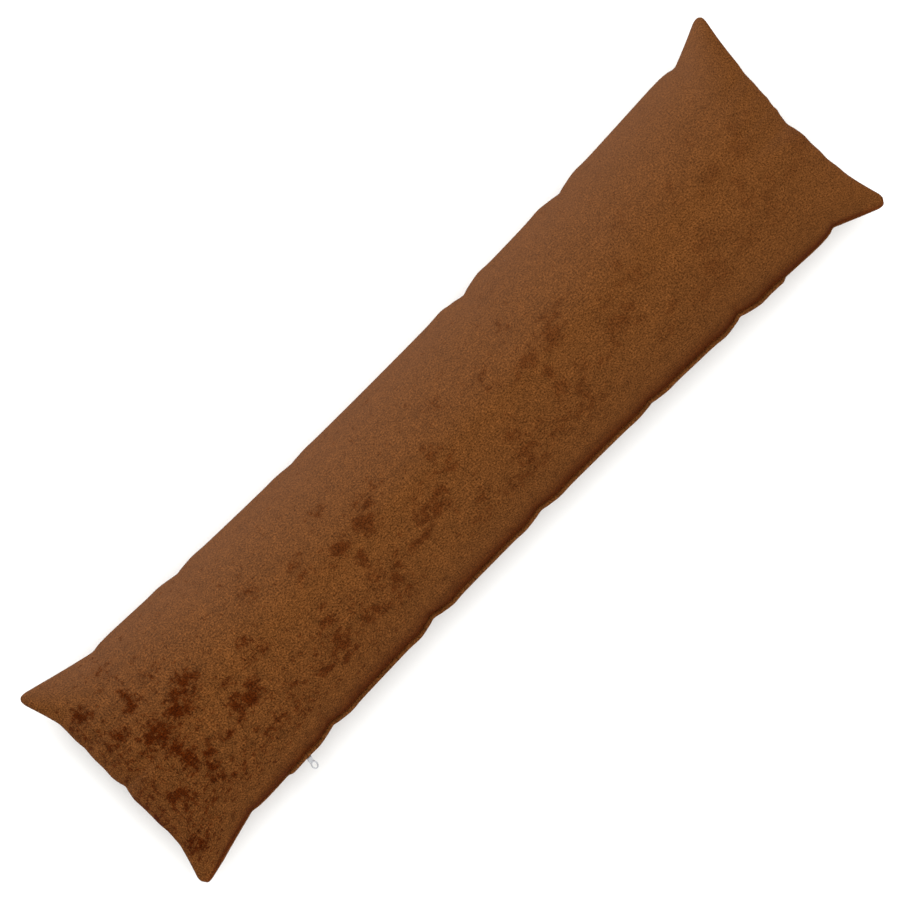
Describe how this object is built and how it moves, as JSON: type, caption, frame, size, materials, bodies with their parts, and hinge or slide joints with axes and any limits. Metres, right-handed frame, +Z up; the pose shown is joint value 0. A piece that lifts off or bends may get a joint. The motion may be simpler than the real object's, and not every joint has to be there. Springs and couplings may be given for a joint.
{
  "type": "lumbar pillow",
  "caption": "Long filled lumbar pillow in brown pile velvet, with pointed corners and a concealed zip in one long edge.",
  "frame": {"origin": "on the surface that the pillow lies on, under the middle of its outline", "axes": "+X along the pillow, +Z up through its face, -Y towards the zip's edge"},
  "size_m": [0.8757, 0.2398, 0.116],
  "materials": {
    "velvet": "short-pile polyester velvet, brushed, with nap marks",
    "zip_nylon": "dyed nylon coil and woven tape",
    "zip_metal": "satin pale grey enamel on zinc"
  },
  "bodies": {
    "root": {"pillow_cover": "velvet", "zip_chain": "zip_nylon", "zip_slider": "zip_metal", "zip_pull": "zip_metal"}
  },
  "joints": []
}
